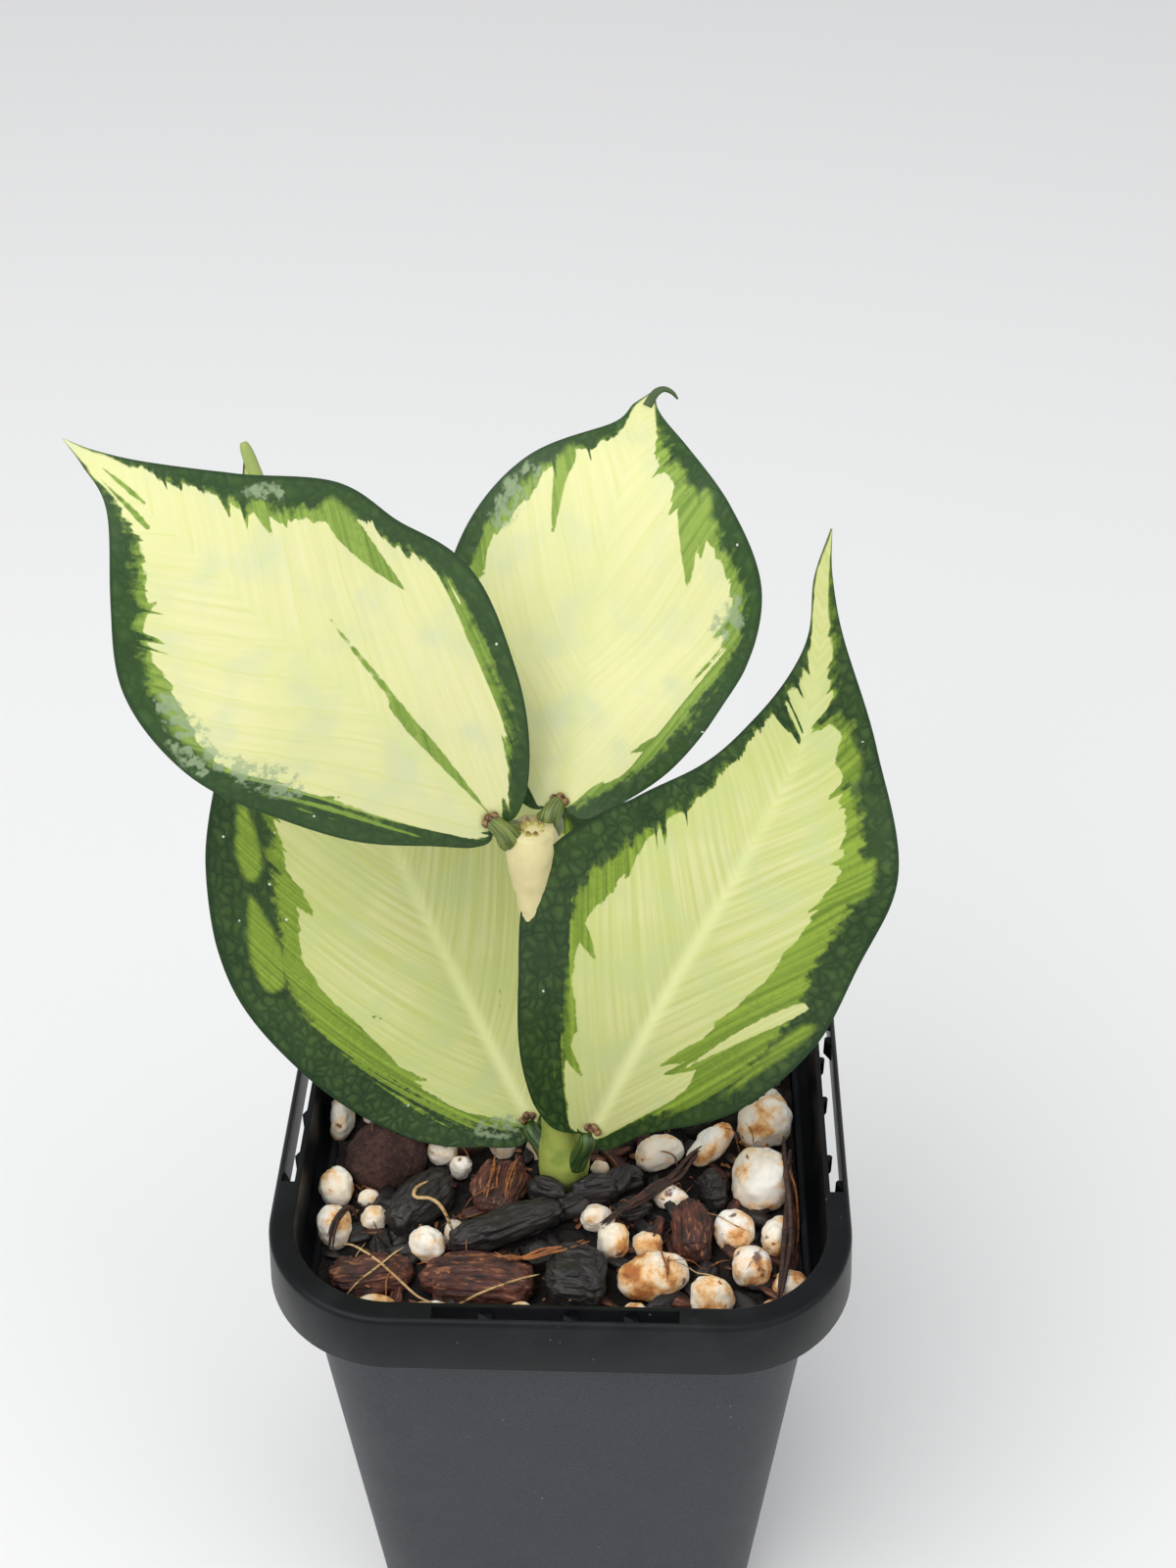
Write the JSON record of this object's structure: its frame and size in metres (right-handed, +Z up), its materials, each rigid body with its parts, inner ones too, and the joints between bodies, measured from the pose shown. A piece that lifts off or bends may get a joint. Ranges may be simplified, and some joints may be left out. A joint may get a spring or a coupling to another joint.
{
  "type": "potted hoya",
  "caption": "Young hoya with broad pointed variegated leaves on a short stem, in a square black nursery pot of chunky bark, charcoal and perlite mix.",
  "frame": {"origin": "middle of the pot's flat underside, where it stands", "axes": "+Z up along the stem, -Y towards the side that the leaves face, +X to the right seen from that side"},
  "size_m": [0.1048, 0.086, 0.2155],
  "materials": {
    "pot_plastic": "satin black moulded plastic",
    "mix_dark": "damp dark composted bark and husk crumbs",
    "perlite_white": "dry white pitted mineral with rusty stains",
    "scoria_brown": "rough brown volcanic stone",
    "husk_brown": "fibrous red-brown husk",
    "charcoal_black": "black charcoal with a dull shine",
    "stem_green": "smooth pale yellow-green stem",
    "leaf_variegated": "waxy cream leaf with dark green margins"
  },
  "bodies": {
    "root": {"pot": "pot_plastic", "potting_mix": "mix_dark", "stem": "stem_green", "leaf_lower_left": "leaf_variegated", "leaf_lower_right": "leaf_variegated", "leaf_upper_left": "leaf_variegated", "leaf_upper_right": "leaf_variegated", "perlite_01": "perlite_white", "perlite_02": "perlite_white", "perlite_03": "perlite_white", "perlite_04": "perlite_white", "perlite_05": "perlite_white", "perlite_06": "perlite_white", "perlite_07": "perlite_white", "perlite_08": "perlite_white", "perlite_09": "perlite_white", "perlite_10": "perlite_white", "perlite_11": "perlite_white", "perlite_12": "perlite_white", "perlite_13": "perlite_white", "perlite_14": "perlite_white", "perlite_15": "perlite_white", "perlite_16": "perlite_white", "perlite_17": "perlite_white", "perlite_18": "perlite_white", "perlite_19": "perlite_white", "perlite_20": "perlite_white", "perlite_21": "perlite_white", "perlite_22": "perlite_white", "perlite_23": "perlite_white", "perlite_24": "perlite_white", "perlite_25": "perlite_white", "perlite_26": "perlite_white", "perlite_27": "perlite_white", "scoria_pebble_01": "scoria_brown", "bark_chip_01": "husk_brown", "bark_chip_02": "husk_brown", "bark_chip_03": "husk_brown", "bark_chip_04": "husk_brown", "charcoal_01": "charcoal_black", "charcoal_02": "charcoal_black", "charcoal_03": "charcoal_black", "charcoal_04": "charcoal_black", "charcoal_05": "charcoal_black", "charcoal_06": "charcoal_black"}
  },
  "joints": []
}
